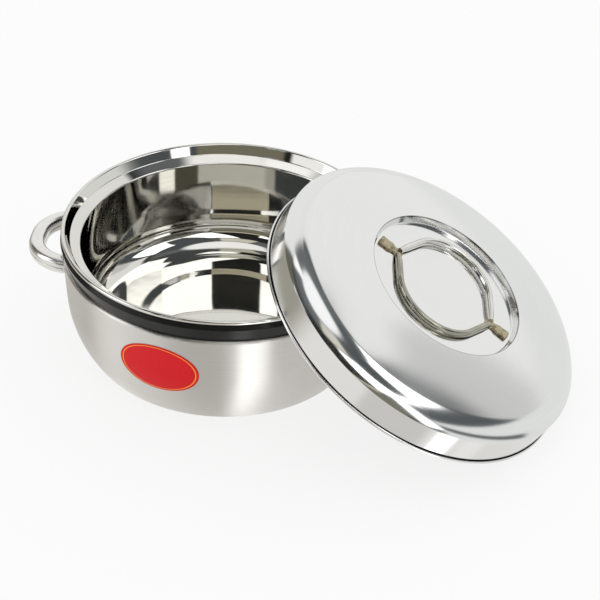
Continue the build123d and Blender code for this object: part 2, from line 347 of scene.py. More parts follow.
def shellRadius(level):
    # the outside's distance from the axis at a level, read off its outline
    rows = joined(shellOutside())[0]
    wall = rows[rows[:, 0] > shell["wallFrom"]]
    wall = wall[:np.argmax(wall[:, 1]) + 1]
    return np.interp(level, wall[:, 1], wall[:, 0])


collar = {
    "overhang": 0.5, "edgeDrop": 7.0, "landInset": 1.7, "spigot": 3.0, "wall": 2.6, "round": 0.8,
    "spigotRound": 0.4, "gap": 0.3, "panGap": 3.6, "seatDrop": 11.5,
}


def collarOutline():
    # a closed ring section: spigot inside the shell's mouth, sloping outside, land under the pan's bead
    land = rimTop - pan["bead"] - collar["gap"]
    spigot = rimRadius - shell["topInset"] - shell["lip"] - collar["gap"]
    inner = spigot - collar["wall"]
    low = shoulderLevel - collar["spigot"]
    hollow = rimRadius - collar["panGap"]
    seat = rimTop - collar["seatDrop"]
    points = [(inner, low), (spigot, low), (spigot, shoulderLevel),
              (rimRadius - shell["topInset"] - shell["topRound"], shoulderLevel),
              (rimRadius + collar["overhang"], rimTop - collar["edgeDrop"]),
              (rimRadius - collar["landInset"], land), (hollow, land), (hollow, seat), (inner, seat)]
    edge, top = collar["spigotRound"], collar["round"]
    return joined(roundedRows(points, [edge, 0, 0, 0, top, top, 0, 0, edge], closed=True))


handle = {
    "width": 12.0, "thickness": 12.2, "round": 4.6, "wall": 0.9, "reach": 145.5, "span": 74.8,
    "frontSpan": 73.6, "corner": 28.0, "legRun": 1.0, "drop": 0.9, "footGap": 1.4, "footSpread": 0.02,
    "seam": 0.25, "seamRound": 0.35,
}


def handleHalf(side, upper):
    # a pressed channel, half of a rounded box tube, carried round a U in plan
    half = handle["width"] / 2
    tall = handle["thickness"] / 2
    r = handle["round"]
    wall = handle["wall"]
    seam = handle["seam"] / 2
    edge = handle["seamRound"]
    outer = [(half, seam), (half, tall), (-half, tall), (-half, seam), (-half + wall, seam),
             (-half + wall, tall - wall), (half - wall, tall - wall), (half - wall, seam)]
    rounds = [edge, r, r, edge, edge / 3, r - wall, r - wall, edge / 3]
    section, first, last = joined(roundedRows(outer, rounds, closed=True))
    section = section[:-1]
    normals = np.concatenate([(first[:1] + last[-1:]) / 2, (first[1:] + last[:-1]) / 2])
    normals /= np.linalg.norm(normals, axis=1)[:, None]
    if not upper:
        section = section[::-1] * [1, -1]
        normals = normals[::-1] * [1, -1]
    leg = handle["span"] / 2 - half
    front = handle["frontSpan"] / 2 - half
    bar = handle["reach"] - half
    start = bar - handle["corner"] - handle["legRun"]
    plan = [(start, -leg), (bar, -front), (bar, front), (start, leg)]
    path, sides = levelPath(plan, [handle["corner"]] * 2)
    level = shoulderLevel - handle["drop"] - tall
    path = np.column_stack([path, np.full(len(path), level)])
    sides = np.column_stack([sides, np.zeros(len(sides))])
    places, faces, corners = sweepMesh(path, sides, section, normals)
    # the legs end on the shell: x is never less than sqrt(surface^2 - y^2), and the points behind
    # that keep their order by a small spread
    surface = shellRadius(places[:, 2]) + handle["footGap"]
    depth = np.sqrt(np.maximum(surface**2 - places[:, 1]**2, 0))
    depth += handle["footSpread"] * (places[:, 0] - start)
    places[:, 0] = np.maximum(places[:, 0], depth)
    flip = np.array([side, side, 1])
    return places * flip, faces, corners * flip


label = {"width": 61.0, "height": 40.0, "level": 50.4, "azimuth": 255.1, "gap": 0.1, "thickness": 0.25}


def labelMesh(rings=24, around=120):
    # polar grid on the oval: sideways u and up v, laid on the shell; then the same for its back
    share = np.linspace(0, 1, rings + 1)[1:]
    angle = np.linspace(0, 2 * pi, around, endpoint=False)
    u = np.concatenate([[0], (share[:, None] * np.cos(angle)).ravel()])
    v = np.concatenate([[0], (share[:, None] * np.sin(angle)).ravel()])
    flat = np.column_stack([u, v]) / 2 + 0.5
    heading = radians(label["azimuth"])
    ahead = np.array([cos(heading), sin(heading)])
    side = np.array([-sin(heading), cos(heading)])
    level = label["level"] + v * label["height"] / 2
    across = u * label["width"] / 2
    sheets = []
    for proud in (label["gap"] + label["thickness"], label["gap"]):
        radius = shellRadius(level) + proud
        out = np.sqrt(radius**2 - across**2)
        plan = out[:, None] * ahead + across[:, None] * side
        sheets.append(np.column_stack([plan, level]))
    count = len(u)
    j = np.arange(around)
    k = (j + 1) % around
    faces = np.column_stack([np.zeros(around, int), 1 + j, 1 + k]).tolist()
    back = np.column_stack([np.full(around, count), count + 1 + k, count + 1 + j]).tolist()
    quads = []
    for ring in range(rings - 1):
        a, b = 1 + ring * around, 1 + (ring + 1) * around
        quads += np.column_stack([a + j, b + j, b + k, a + k]).tolist()
        back += np.column_stack([count + a + j, count + a + k, count + b + k, count + b + j]).tolist()
    a = 1 + (rings - 1) * around
    rim = np.column_stack([a + j, count + a + j, count + a + k, a + k]).tolist()
    return np.concatenate(sheets), faces + quads + back + rim, np.concatenate([flat, flat])


# ---- lid: cover, liner, bows, tabs

cover = {
    "sheet": 0.5, "skirtInner": 120.9, "joint": 0.2, "bead": 2.2, "beadGap": 0.8, "rollStart": -150.0,
    "skirtTop": 23.4, "domeRadius": 400.0, "shoulderWidth": 15.1, "shoulderStep": 1.5, "recess": 61.4,
    "recessEdge": 43.9, "recessDepth": 5.4, "recessRun": 1.9, "recessRound": 1.0,
}
recessLevel = cover["recessEdge"] - cover["recessDepth"]


def coverOutline():
    # bead, upright skirt, shoulder, dome and recess, in front of the sheet's back
    # the dome is a circle about (0, low); the shoulder's arc shares the dome's normal at its edge:
    # radius = run . run / (2 run . normal), with run from the skirt's top to that edge
    bead = cover["bead"] / 2
    outer = cover["skirtInner"] + 2 * cover["sheet"] + cover["joint"]
    beadCentre = (outer - cover["sheet"] + bead, cover["beadGap"] + bead)
    roll = arcRows(beadCentre, bead, cover["rollStart"], degrees(acos((outer - beadCentre[0]) / bead)))
    dome = cover["domeRadius"]
    low = cover["recessEdge"] - sqrt(dome**2 - cover["recess"]**2)
    start = outer - cover["shoulderWidth"]
    startAngle = degrees(acos(start / dome))
    edgeAngle = degrees(acos(cover["recess"] / dome))
    top = np.array([start, low + sqrt(dome**2 - start**2)])
    normal = np.array([cos(radians(startAngle)), sin(radians(startAngle))])
    crease = np.array([outer, cover["skirtTop"]])
    run = top - crease
    radius = float(run @ run / (2 * (run @ normal)))
    centre = top - radius * normal
    creaseAngle = degrees(atan2(*(crease - centre)[::-1]))
    shoulder = arcRows(centre, radius, creaseAngle, startAngle, coarse=cover["shoulderStep"])
    crown = arcRows((0, low), dome, startAngle, edgeAngle)
    skirt = roundedRows([roll[0][-1], crease], [])
    foot = cover["recess"] - cover["recessRun"]
    recess = roundedRows([crown[0][-1], (foot, recessLevel), (0, recessLevel)], [cover["recessRound"]])
    faceRows = skirt + [shoulder, crown] + recess
    return joined(backOf(faceRows, cover["sheet"]) + [roll] + faceRows)


liner = {
    "level": 14.7, "round": 1.5, "topRound": 2.0, "hem": 1.5, "hemThickness": 0.7, "hemSlack": 0.01,
    "hole": 7.0,
}


def linerOutline():
    # a closed section: level sheet, skirt inside the cover's, and a hem turned out under it
    inner = cover["skirtInner"]
    sheet = cover["sheet"]
    hem = inner + liner["hem"]
    top = liner["level"] + sheet
    points = [(liner["hole"], liner["level"]), (inner, liner["level"]), (inner, 0), (hem, 0),
              (hem, liner["hemThickness"]), (inner + sheet, liner["hemThickness"]), (inner + sheet, top),
              (liner["hole"], top)]
    edge = liner["hemThickness"] / 2 - liner["hemSlack"]
    rounds = [0, liner["round"], edge, edge, edge, 0, liner["topRound"], 0]
    return joined(roundedRows(points, rounds, closed=True))


bow = {
    "halfLength": 42.0, "halfWidth": 43.8, "endSlope": 66.0, "endShare": 0.35, "width": 5.0, "height": 3.6,
    "level": 1.4, "split": 0.3, "taper": 9.0, "endHeight": 0.62, "endWidth": 0.8, "power": 0.8,
    "foot": 0.9, "around": 25,
}


def bowMesh(side):
    # half a rounded bar: flat below, (a cos t^power, b sin t^power) above, along the bow's plan
    # it grows from its ends over the taper's length by the smooth step 3 e^2 - 2 e^3
    slope = radians(bow["endSlope"])
    peak = bow["halfLength"] * tan(slope)
    radius = (peak - bow["halfWidth"]) * cos(slope) / (1 - cos(slope))
    start = bow["split"] / 2 / tan(slope) + bow["width"] / 2 / sin(slope) * bow["endShare"]
    plan = [(-bow["halfLength"] + start, start * tan(slope)), (0, peak),
            (bow["halfLength"] - start, start * tan(slope))]
    path, sides = levelPath(plan, [radius])
    t = np.linspace(0, pi, bow["around"])
    power = bow["power"]
    a, b = bow["width"] / 2, bow["height"]
    section = np.column_stack([a * np.sign(np.cos(t)) * np.abs(np.cos(t))**power, b * np.sin(t)**power])
    normals = np.column_stack([np.sign(np.cos(t)) * np.abs(np.cos(t))**(2 - power) / a,
                               np.sin(t)**(2 - power) / b])
    section = np.concatenate([section, [[-a * bow["foot"], 0], [a * bow["foot"], 0]]])
    normals = np.concatenate([normals, [[0, -1], [0, -1]]])
    normals /= np.linalg.norm(normals, axis=1)[:, None]
    away = np.minimum(np.arange(len(path)), np.arange(len(path))[::-1]) * pathStep
    ease = np.clip(away / bow["taper"], 0, 1)
    ease = ease * ease * (3 - 2 * ease)
    scale = np.column_stack([bow["endWidth"] + (1 - bow["endWidth"]) * ease,
                             bow["endHeight"] + (1 - bow["endHeight"]) * ease])
    path = np.column_stack([path, np.full(len(path), recessLevel + bow["level"])])
    sides = np.column_stack([sides, np.zeros(len(sides))])
    places, faces, corners = sweepMesh(path, sides, section, normals, scale)
    flip = np.array([side, side, 1])
    return onLid(places * flip), faces, (corners * flip) @ lidAxes.T


tab = {
    "inner": 37.5, "outer": 57.4, "width": 8.6, "thickness": 2.4, "power": 0.45,
    "endRun": 0.07, "endSize": 0.1,                           # rounded ends, as shares of length and size
    "neckAt": 0.38, "neckRun": 0.14, "neckDepth": 0.22,       # where the bows' ends press it narrower
    "stepAt": 0.42, "stepRate": 26.0, "lowHeight": 0.58,      # lower towards the bows
    "dentAt": 0.72, "dentRun": 0.1, "dentDepth": 0.16,        # the weld's hollow
}


def tabMesh(side, along=40, around=28):
    # a pressed bar: superellipse sections (cos t^power, sin t^power) whose size falls away at both ends
    # neck and dent are bells exp(-((s - at) / run)^2), and the step is 1 / (1 + exp(-rate (s - at)))
    s = np.linspace(0, 1, along)
    x = tab["inner"] + (tab["outer"] - tab["inner"]) * s
    end = np.clip(np.minimum(s, 1 - s) / tab["endRun"], 0, 1)
    roundOff = np.sqrt(1 - (1 - end)**2) * (1 - tab["endSize"]) + tab["endSize"]
    neck = 1 - tab["neckDepth"] * np.exp(-((s - tab["neckAt"]) / tab["neckRun"])**2)
    step = 1 / (1 + np.exp(-(s - tab["stepAt"]) * tab["stepRate"]))
    tall = tab["thickness"] * (tab["lowHeight"] + (1 - tab["lowHeight"]) * step)
    tall *= 1 - tab["dentDepth"] * np.exp(-((s - tab["dentAt"]) / tab["dentRun"])**2)
    t = np.linspace(0, 2 * pi, around, endpoint=False)
    power = tab["power"]
    u = np.sign(np.cos(t)) * np.abs(np.cos(t))**power
    v = np.sign(np.sin(t)) * np.abs(np.sin(t))**power
    y = tab["width"] / 2 * roundOff[:, None] * neck[:, None] * u
    z = recessLevel + tall[:, None] / 2 * (1 + v * roundOff[:, None])
    places = np.stack([np.broadcast_to(x[:, None], y.shape), y, z], -1)
    flip = np.array([side, side, 1])
    return onLid(places.reshape(-1, 3) * flip), tubeFaces(along, around)


def softNormals(places, faces):
    # at each face corner, the mean normal of the faces that meet there
    mesh = bpy.data.meshes.new("draft")
    mesh.from_pydata(places.tolist(), [], faces)
    mesh.update()
    vertex = np.zeros(len(mesh.loops), np.int32)
    mesh.loops.foreach_get("vertex_index", vertex)
    normals = np.zeros(len(mesh.vertices) * 3)
    mesh.vertex_normals.foreach_get("vector", normals)
    bpy.data.meshes.remove(mesh)
    return normals.reshape(-1, 3)[vertex]


# ---- shader maths

class Wire:
    # one socket; operators on it add Math nodes

    def __init__(self, tree, socket=None):
        self.tree = tree
        self.socket = socket

    def add(self, kind, settings=None, inputs=None, output=0):
        # a node of one kind: its settings first, then values or wires for its sockets
        node = self.tree.nodes.new(kind)
        for name, value in (settings or {}).items():
            if name == "stops":
                ramp = node.color_ramp
                while len(ramp.elements) < len(value):
                    ramp.elements.new(0.5)
                for element, (place, colour) in zip(ramp.elements, value):
                    element.position = place
                    element.color = (*colour, 1)
            else:
                setattr(node, name, value)
        for name, value in (inputs or {}).items():
            if isinstance(value, Wire):
                self.tree.links.new(value.socket, node.inputs[name])
            else:
                node.inputs[name].default_value = value
        return Wire(self.tree, node.outputs[output])

    def math(self, operation, *values):
        # one Math node on wires and numbers
        return self.add("ShaderNodeMath", {"operation": operation}, dict(enumerate(values)))

    def __add__(self, other):
        return self.math("ADD", self, other)

    def __sub__(self, other):
        return self.math("SUBTRACT", self, other)

    def __rsub__(self, other):
        return self.math("SUBTRACT", other, self)

    def __mul__(self, other):
        return self.math("MULTIPLY", self, other)

    def __truediv__(self, other):
        return self.math("DIVIDE", self, other)

    __radd__ = __add__
    __rmul__ = __mul__

    def rise(self, low, high):
        # a smooth step from 0 at low to 1 at high
        return self.add("ShaderNodeMapRange", {"interpolation_type": "SMOOTHSTEP"},
                        {"Value": self, "From Min": low, "From Max": high})

    def between(self, low, high, soft):
        # 1 from low to high, 0 outside, with edges that are twice soft wide
        return self.rise(low - soft, low + soft) * (1 - self.rise(high - soft, high + soft))

    def parts(self):
        # x, y and z of a vector
        node = self.add("ShaderNodeSeparateXYZ", None, {"Vector": self})
        return [Wire(self.tree, node.socket.node.outputs[i]) for i in range(3)]

    def vector(self, x, y, z):
        # (x, y, z) in one wire
        return self.add("ShaderNodeCombineXYZ", None, {"X": x, "Y": y, "Z": z})

    def outlet(self, name):
        # another output of the same node
        return Wire(self.tree, self.socket.node.outputs[name])

    def noise(self, vector, scale, detail=2.0, roughness=0.5):
        # cloudy values between 0 and 1
        return self.add("ShaderNodeTexNoise", {"noise_dimensions": "3D"},
                        {"Vector": vector, "Scale": scale, "Detail": detail, "Roughness": roughness})

    def mixed(self, share, first, second):
        # first + share * (second - first), for colours
        node = self.add("ShaderNodeMix", {"data_type": "RGBA"})
        made = node.socket.node
        for socket, value in ((made.inputs[0], share), (made.inputs[6], first), (made.inputs[7], second)):
            if isinstance(value, Wire):
                self.tree.links.new(value.socket, socket)
            elif socket.type == "RGBA":
                socket.default_value = (*value, 1)
            else:
                socket.default_value = value
        return Wire(self.tree, made.outputs[2])


def newMaterial(name, **values):
    # a Principled surface; returns the material, a wire into its tree and its shader node
    material = bpy.data.materials.new(name)
    material.use_nodes = True
    tree = material.node_tree
    tree.nodes.clear()
    wire = Wire(tree)
    surface = wire.add("ShaderNodeBsdfPrincipled", None, values)
    tree.links.new(surface.socket, tree.nodes.new("ShaderNodeOutputMaterial").inputs[0])
    return material, wire, surface.socket.node


def feed(wire, shader, **links):
    # wires into the shader's sockets, with _ for a space in a socket's name
    for name, value in links.items():
        wire.tree.links.new(value.socket, shader.inputs[name.replace("_", " ")])


def objectPlace(wire):
    # the place on the piece in metres, in the frame that all pieces share
    return wire.add("ShaderNodeTexCoord", output=3)


def bumped(wire, height, strength, depth):
    # the surface's normal turned as if it stood proud by height * depth, in metres
    return wire.add("ShaderNodeBump", None, {"Height": height, "Strength": strength, "Distance": depth})


def spinPlace(wire, tilted):
    # the place round an axis: unit ray (x, y) / distance, distance from the axis and height along it
    place = objectPlace(wire)
    if tilted:
        inverse = lidAxes.T
        shift = -inverse @ (lidCentre * mm)
        angles = Matrix(inverse.tolist()).to_euler()
        place = wire.add("ShaderNodeMapping", None,
                         {"Vector": place, "Location": tuple(shift), "Rotation": tuple(angles)})
    x, y, z = place.parts()
    square = x * x + y * y + 1e-9      # never 0, so that the ray can be divided by its root
    distance = square.math("SQRT", square)
    return x / distance, y / distance, distance, z, place


# painted crease shade: dark lines painted into the colour where shade falls in creases; from and to are
# distances from the axis, low and high are heights
steelLooks = {
    "shellSteel": {"roughness": 0.34, "stretch": 0.98, "stretchTurn": 0.25, "arc": 1.5, "lines": 2600.0,
                   "cloudScale": 14.0, "wear": 0.04, "ringRough": 0.06, "dark": (0.72, 0.705, 0.685),
                   "light": (0.80, 0.785, 0.765), "waveArc": 20.0, "waveLines": 10.0, "ringRelief": 0.0006,
                   "waveRelief": 0.0},
    "panSteel": {"roughness": 0.045, "arc": 2.0, "lines": 1400.0, "cloudScale": 22.0, "wear": 0.03,
                 "ringRough": 0.02, "dark": (0.715, 0.705, 0.67), "light": (0.775, 0.765, 0.73),
                 "waveArc": 60.0, "waveLines": 25.0, "ringRelief": 0.0, "waveRelief": 0.03},
    "lidSteel": {"roughness": 0.13, "arc": 2.0, "lines": 1800.0, "cloudScale": 12.0, "wear": 0.04,
                 "ringRough": 0.02, "dark": (0.82, 0.822, 0.82), "light": (0.85, 0.852, 0.85),
                 "waveArc": 25.0, "waveLines": 25.0, "ringRelief": 0.00008, "waveRelief": 0.003,
                 "creaseShadeLines": [{"from": 121.6, "to": 122.9, "low": 2.6, "high": 3.8, "depth": 0.95},
                             {"from": 61.0, "to": 61.7, "low": 43.0, "high": 44.5, "depth": 0.6}]},
    "linerSteel": {"roughness": 0.22, "arc": 2.0, "lines": 900.0, "cloudScale": 12.0, "wear": 0.08,
                   "ringRough": 0.08, "dark": (0.70, 0.70, 0.69), "light": (0.80, 0.80, 0.79),
                   "waveArc": 25.0, "waveLines": 25.0, "ringRelief": 0.0008, "waveRelief": 0.004},
}
spun = {
    "ringDetail": 3.0, "ringRough": 0.6, "ringRange": (0.3, 0.7), "ringTint": 0.6,
    "smearRange": (0.35, 0.7), "smearTint": 0.4, "creaseShadeTone": (0.02, 0.02, 0.02), "creaseShadeSoft": 0.1,
}


def spunSteel(name, tilted=False):
    # steel with fine rings from spinning and polishing, and faint cloudy wear
    # rings are noise over (x arc, y arc, (distance + height) lines): long round the axis, fine across
    # relief = rings * ringRelief + wave * waveRelief; tint goes from dark to light by rings and smears,
    # and painted crease shade darkens it in thin lines
    look = steelLooks[name]
    material, wire, shader = newMaterial(name, Metallic=1.0, Roughness=look["roughness"],
                                         Anisotropic=look.get("stretch", 0.0))
    shader.inputs["Anisotropic Rotation"].default_value = look.get("stretchTurn", 0.0)
    x, y, distance, height, place = spinPlace(wire, tilted)
    run = distance + height
    rings = wire.noise(wire.vector(x * look["arc"], y * look["arc"], run * look["lines"]), 1.0,
                       spun["ringDetail"], spun["ringRough"])
    smear = wire.noise(place, look["cloudScale"]).rise(*spun["smearRange"])
    feed(wire, shader, Roughness=smear * look["wear"] + rings * look["ringRough"]
         + (look["roughness"] - look["wear"] / 2 - look["ringRough"] / 2))
    share = rings.rise(*spun["ringRange"]) * spun["ringTint"] + smear * spun["smearTint"]
    tint = wire.mixed(share, look["dark"], look["light"])
    soft = spun["creaseShadeSoft"] * mm
    # painted shade: each listed crease darkens the colour in a thin band, standing in for the shade that
    # falls there
    for line in look.get("creaseShadeLines", ()):
        across = distance.between(line["from"] * mm, line["to"] * mm, soft)
        along = height.between(line["low"] * mm, line["high"] * mm, soft)
        tint = wire.mixed(across * along * line["depth"], tint, spun["creaseShadeTone"])
    feed(wire, shader, Base_Color=tint)
    wave = wire.noise(wire.vector(x * distance * look["waveArc"], y * distance * look["waveArc"],
                                  height * look["waveLines"]), 1.0, 1.0)
    relief = rings * look["ringRelief"] + wave * look["waveRelief"]
    feed(wire, shader, Normal=bumped(wire, relief, 1.0, mm))
    return material


grainLook = {"detail": 3.0, "rough": 0.6, "range": (0.3, 0.7), "strength": 0.2, "depth": 0.05}

polishedLooks = {
    "handleSteel": {"roughness": 0.24, "dark": (0.82, 0.815, 0.80), "light": (0.86, 0.855, 0.84),
                    "scale": 40.0},
    "rearBowSteel": {"roughness": 0.13, "dark": (0.72, 0.71, 0.68), "light": (0.80, 0.79, 0.76),
                     "scale": 60.0},
    # painted shade: the front bow is the same steel as the rear bow, with its colour painted darker
    "frontBowShadedSteel": {"roughness": 0.13, "dark": (0.36, 0.35, 0.29), "light": (0.48, 0.47, 0.41),
                      "scale": 60.0},
}


def polishedSteel(name, spread=0.08):
    # hand-polished steel: a cloud mixes dark and light, and roughness = its middle + spread (cloud - 1/2)
    look = polishedLooks[name]
    material, wire, shader = newMaterial(name, Metallic=1.0, Roughness=look["roughness"])
    place = objectPlace(wire)
    cloud = wire.noise(place, look["scale"], grainLook["detail"], grainLook["rough"])
    tint = wire.mixed(cloud.rise(*grainLook["range"]), look["dark"], look["light"])
    feed(wire, shader, Base_Color=tint, Roughness=cloud * spread + (look["roughness"] - spread / 2))
    wave = wire.noise(place, look["scale"], 1.0)
    feed(wire, shader, Normal=bumped(wire, wave, grainLook["strength"], grainLook["depth"] * mm))
    return material


weldTint = {
    "scale": 220.0, "metal": 0.85, "roughness": 0.35, "smooth": 0.18, "spread": 0.3, "strength": 0.5,
    "depth": 0.2,
    "stops": [(0.30, (0.10, 0.085, 0.06)), (0.42, (0.30, 0.25, 0.16)), (0.52, (0.50, 0.46, 0.30)),
              (0.62, (0.42, 0.33, 0.26)), (0.75, (0.60, 0.55, 0.42))],
}


def tintedSteel():
    # steel browned by the heat of welding: olive, straw and dark brown patches of noise through a ramp
    material, wire, shader = newMaterial("heatTintedSteel", Metallic=weldTint["metal"],
                                         Roughness=weldTint["roughness"])
    patches = wire.noise(objectPlace(wire), weldTint["scale"], grainLook["detail"], grainLook["rough"])
    ramp = wire.add("ShaderNodeValToRGB", {"stops": weldTint["stops"]}, {"Fac": patches})
    feed(wire, shader, Base_Color=ramp, Roughness=patches * weldTint["spread"] + weldTint["smooth"])
    feed(wire, shader, Normal=bumped(wire, patches, weldTint["strength"], weldTint["depth"] * mm))
    return material


plasticLooks = {
    "blackPlastic": {"dark": (0.006, 0.006, 0.006), "light": (0.010, 0.010, 0.010), "roughness": 0.20,
                     "scale": 60.0, "shine": 0.2},
    "plugPlastic": {"dark": (0.26, 0.26, 0.26), "light": (0.33, 0.33, 0.33), "roughness": 0.5,
                    "scale": 80.0, "shine": 0.5},
    "foam": {"dark": (0.70, 0.63, 0.42), "light": (0.84, 0.78, 0.58), "roughness": 0.9,
             "scale": 300.0, "shine": 0.5},
}


def plastic(name, spread=0.12):
    # a fine grain mixes dark and light, and roughness = its middle + spread (grain - 1/2)
    look = plasticLooks[name]
    material, wire, shader = newMaterial(name, Roughness=look["roughness"])
    shader.inputs["Specular IOR Level"].default_value = look["shine"]
    grain = wire.noise(objectPlace(wire), look["scale"], grainLook["detail"], grainLook["rough"])
    tint = wire.mixed(grain.rise(*grainLook["range"]), look["dark"], look["light"])
    feed(wire, shader, Base_Color=tint, Roughness=grain * spread + (look["roughness"] - spread / 2))
    feed(wire, shader, Normal=bumped(wire, grain, grainLook["strength"], grainLook["depth"] * mm))
    return material


labelLook = {
    "red": (0.66, 0.008, 0.014), "lift": 1.08, "line": (1.0, 0.36, 0.05), "lineAt": 0.93,
    "lineHalf": 0.013, "lineSoft": 0.006, "grain": 30.0, "roughness": 0.4, "smooth": 0.35,
    "spread": 0.1, "shine": 0.2,
}


def labelPaint():
    # plain red oval with one yellow-orange line: sqrt(x^2 + y^2) is 0 in the middle and 1 at the edge
    look = labelLook
    material, wire, shader = newMaterial("labelPaint", Roughness=look["roughness"])
    shader.inputs["Specular IOR Level"].default_value = look["shine"]
    flat = wire.add("ShaderNodeUVMap", {"uv_map": "flat"})
    u, v, _ = flat.parts()
    x, y = (u - 0.5) * 2, (v - 0.5) * 2
    reach = x.math("SQRT", x * x + y * y)
    line = reach.between(look["lineAt"] - look["lineHalf"], look["lineAt"] + look["lineHalf"],
                         look["lineSoft"])
    grain = wire.noise(flat, look["grain"], grainLook["detail"])
    lighter = tuple(look["lift"] * part for part in look["red"])
    red = wire.mixed(grain.rise(*grainLook["range"]), look["red"], lighter)
    feed(wire, shader, Base_Color=wire.mixed(line, red, look["line"]))
    feed(wire, shader, Roughness=grain * look["spread"] + look["smooth"])
    return material


panSteel = spunSteel("panSteel")
shellSteel = spunSteel("shellSteel")
lidSteel = spunSteel("lidSteel", tilted=True)
linerSteel = spunSteel("linerSteel", tilted=True)
handleSteel = polishedSteel("handleSteel")
# the front bow's material is the darker copy with painted shade
bowSteel = {"rear": polishedSteel("rearBowSteel"), "front": polishedSteel("frontBowShadedSteel")}
tabSteel = tintedSteel()
blackPlastic = plastic("blackPlastic")
plugPlastic = plastic("plugPlastic")
foamPlastic = plastic("foam")
print("materials made")

# ---- build

pieces = {}


def finishPiece(piece, material):
    # one material on a piece, which then counts as made
    piece.data.materials.clear()
    piece.data.materials.append(material)
    pieces[piece.name] = piece


def lidSpin(outline, closed=False):
    # a spun shape turned and moved onto the lid's axis
    places, faces, corners = spinMesh(outline, closed)
    return onLid(places), faces, corners @ lidAxes.T


finishPiece(addPiece("pan", *spinMesh(panOutline()), "pot", ["inner_pan"], "mirror_steel"), panSteel)
finishPiece(addPiece("shell", *spinMesh(shellOutline(), closed=True), "pot", ["outer_shell"],
                     "satin_steel"), shellSteel)
finishPiece(addPiece("collar", *spinMesh(collarOutline(), closed=True), "pot", ["collar_ring"],
                     "black_plastic"), blackPlastic)
for side, word in ((1, "right"), (-1, "left")):
    for upper, part in ((True, "upper"), (False, "lower")):
        half = addPiece(f"{word}Handle{part.title()}", *handleHalf(side, upper), "pot",
                        [f"{word}_handle_{part}_half"], "handle_steel")
        finishPiece(half, handleSteel)
places, faces, flat = labelMesh()
finishPiece(addPiece("label", places, faces, softNormals(places, faces), "pot", ["front_label"],
                     "red_label", flat), labelPaint())
finishPiece(addPiece("lidCover", *lidSpin(coverOutline()), "lid", ["lid_cover"], "lid_steel"), lidSteel)
finishPiece(addPiece("lidLiner", *lidSpin(linerOutline(), True), "lid", ["lid_liner"], "lid_steel"),
            linerSteel)
for side, word in ((1, "rear"), (-1, "front")):
    bar = addPiece(f"{word}Bow", *bowMesh(side), "lid", [f"lid_handle_{word}_bow"], "bow_steel")
    finishPiece(bar, bowSteel[word])
for side, word in ((1, "right"), (-1, "left")):
    places, faces = tabMesh(side)
    bar = addPiece(f"{word}Tab", places, faces, softNormals(places, faces), "lid",
                   [f"lid_handle_{word}_tab"], "tinted_steel")
    finishPiece(bar, tabSteel)
for name, material in (("base_plug", plugPlastic), ("lid_plug", plugPlastic),
                       ("pot_insulation", foamPlastic), ("lid_insulation", foamPlastic),
                       ("right_handle_weld_feet", handleSteel), ("left_handle_weld_feet", handleSteel)):
    finishPiece(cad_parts[name], material)
print("pieces made:", len(pieces))

# ---- stage: floor, room and camera

stageLook = {
    "floorSize": 8.0, "floorDrop": 0.0002, "floorColour": (0.88, 0.88, 0.88), "floorRoughness": 0.9,
    "floorGlow": 0.8,
}


def makeFloor():
    # a plain square that the camera sees almost white and that polished steel does not mirror
    half = stageLook["floorSize"] / 2
    mesh = bpy.data.meshes.new("floor")
    mesh.from_pydata([(-half, -half, 0), (half, -half, 0), (half, half, 0), (-half, half, 0)], [],
                     [(0, 1, 2, 3)])
    floor = bpy.data.objects.new("floor", mesh)
    bpy.context.scene.collection.objects.link(floor)
    floor.location.z = -stageLook["floorDrop"]
    material, wire, shader = newMaterial("floorPaint", Roughness=stageLook["floorRoughness"])
    shader.inputs["Base Color"].default_value = (*stageLook["floorColour"], 1)
    shader.inputs["Specular IOR Level"].default_value = 0.0
    seen = wire.add("ShaderNodeLightPath").outlet("Is Camera Ray")
    glow = wire.add("ShaderNodeEmission", None, {"Color": (1, 1, 1, 1), "Strength": 1.0})
    blend = wire.add("ShaderNodeMixShader", None, {0: seen * stageLook["floorGlow"], 2: glow})
    mix = blend.socket.node
    wire.tree.links.new(shader.outputs[0], mix.inputs[1])
    wire.tree.links.new(mix.outputs[0], wire.tree.nodes["Material Output"].inputs[0])
    mesh.materials.append(material)
    floor.visible_glossy = False


